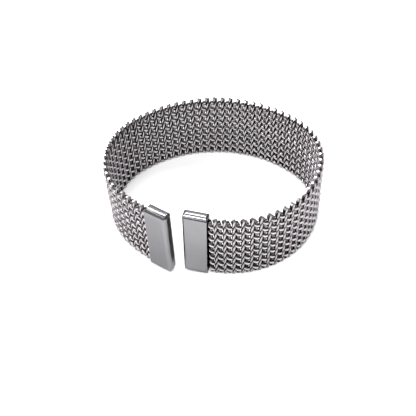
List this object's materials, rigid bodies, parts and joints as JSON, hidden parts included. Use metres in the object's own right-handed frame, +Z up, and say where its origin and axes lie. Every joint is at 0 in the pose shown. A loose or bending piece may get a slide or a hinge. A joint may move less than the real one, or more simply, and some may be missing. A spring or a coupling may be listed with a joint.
{
  "type": "mesh bracelet",
  "caption": "Nearly closed oval bracelet of coarse steel mesh, with a polished bar-shaped cap on each end. It stands on its lower edge round an open wrist hollow.",
  "frame": {"origin": "under the middle of the loop, on the surface that it stands on", "axes": "+X across the loop, from the left end to the right end of the oval; +Y from the clasp to the back; +Z up the height of the band"},
  "size_m": [0.0696, 0.0574, 0.0261],
  "materials": {
    "mesh": "bright woven wire",
    "cap": "polished steel"
  },
  "bodies": {
    "root": {"mesh_band": "mesh", "left_end_cap": "cap", "right_end_cap": "cap"}
  },
  "joints": []
}
